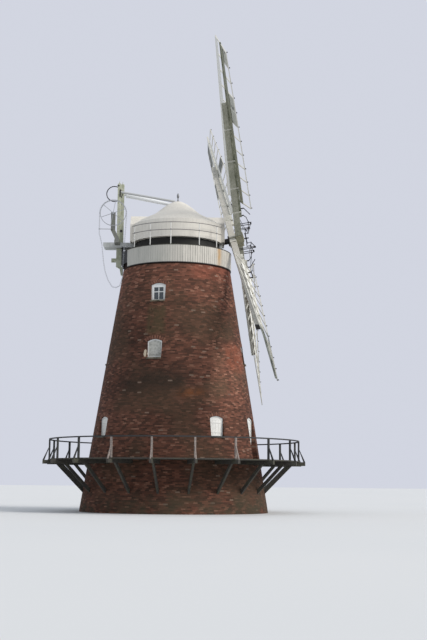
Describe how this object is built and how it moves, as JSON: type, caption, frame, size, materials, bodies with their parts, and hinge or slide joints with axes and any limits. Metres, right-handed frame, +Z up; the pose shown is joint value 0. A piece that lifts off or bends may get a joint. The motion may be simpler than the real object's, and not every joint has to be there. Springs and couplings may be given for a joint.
{
  "type": "brick tower windmill",
  "caption": "Round battered brick tower mill with a timber stage, a white turning cap with a gallery and rear stage, and four skeleton sails.",
  "frame": {"origin": "centre of the tower's round foot at ground level", "axes": "+Z up the tower, +X the way that the windshaft and sails face, +Y to the left of someone who looks along +X"},
  "size_m": [13.9628, 18.4654, 23.6557],
  "materials": {
    "brick": "weathered brickwork in lime mortar",
    "stone": "worn stone",
    "white_wood": "white painted wood",
    "grey_timber": "weathered dark timber",
    "cap_white": "weathered white painted boards",
    "mossy_timber": "old white paint with moss",
    "sail_white": "weathered white painted wood",
    "black_iron": "black painted iron with light rust",
    "grey_iron": "old grey painted iron",
    "grey_canvas": "painted canvas on light frames",
    "glass": "dark window glass"
  },
  "bodies": {
    "tower": {"tower_wall_1": "brick", "tower_wall_2": "brick", "tower_wall_3": "brick", "tower_wall_4": "brick", "tower_wall_5": "brick", "tower_wall_6": "brick", "tower_wall_7": "brick", "tower_wall_8": "brick", "ground_floor": "stone", "first_floor": "grey_timber", "second_floor": "grey_timber", "third_floor": "grey_timber", "curb": "grey_timber", "stage_window_frames": "white_wood", "middle_window_frames": "white_wood", "top_window_frames": "white_wood", "stage_window_sills": "stone", "middle_window_sills": "stone", "top_window_sills": "stone", "window_shutters": "white_wood", "window_glass": "glass", "stage_door_frame": "white_wood", "ground_door_frame": "white_wood", "ground_door": "white_wood", "stage_deck": "grey_timber", "stage_joists": "grey_timber", "stage_struts": "grey_timber", "stage_rail": "grey_timber", "stage_rail_posts": "grey_timber"},
    "stage_door": {"stage_door": "white_wood"},
    "cap": {"cap_ring": "grey_timber", "cap_beams": "grey_timber", "cap_cross_beams": "grey_timber", "cap_wall": "cap_white", "cap_dome": "cap_white", "front_house": "cap_white", "rear_house": "cap_white", "finial": "cap_white", "skirt": "cap_white", "gallery_floor": "grey_timber", "gallery_rail": "cap_white", "fan_posts": "mossy_timber", "fan_ring": "black_iron", "fan_stays": "sail_white", "winding_post": "mossy_timber", "wheel_post": "black_iron", "striking_chain": "black_iron"},
    "sails": {"windshaft": "black_iron", "poll_end": "mossy_timber", "outer_stock": "sail_white", "inner_stock": "sail_white", "sail_frame_1": "sail_white", "sail_frame_2": "sail_white", "sail_frame_3": "sail_white", "sail_frame_4": "sail_white", "sail_shutters": "grey_canvas", "striking_gear": "black_iron"},
    "chain_wheel": {"chain_wheel": "grey_iron"}
  },
  "joints": [
    {"name": "cap_turn", "type": "hinge", "parent": "tower", "child": "cap", "pos_m": [0, 0, 13.74], "axis": [0, 0, 1], "continuous": true},
    {"name": "sails_turn", "type": "hinge", "parent": "cap", "child": "sails", "pos_m": [3.25094, 0, 14.9255], "axis": [0.9822, 0, 0.1881], "continuous": true},
    {"name": "chain_wheel_turn", "type": "hinge", "parent": "cap", "child": "chain_wheel", "pos_m": [-3.5, -1.25, 16.08], "axis": [0, 1, 0], "continuous": true},
    {"name": "stage_door_swing", "type": "hinge", "parent": "tower", "child": "stage_door", "pos_m": [3.72417, -1.73433, 2.75], "axis": [0, 0, 1], "range_deg": [0, 85]}
  ]
}
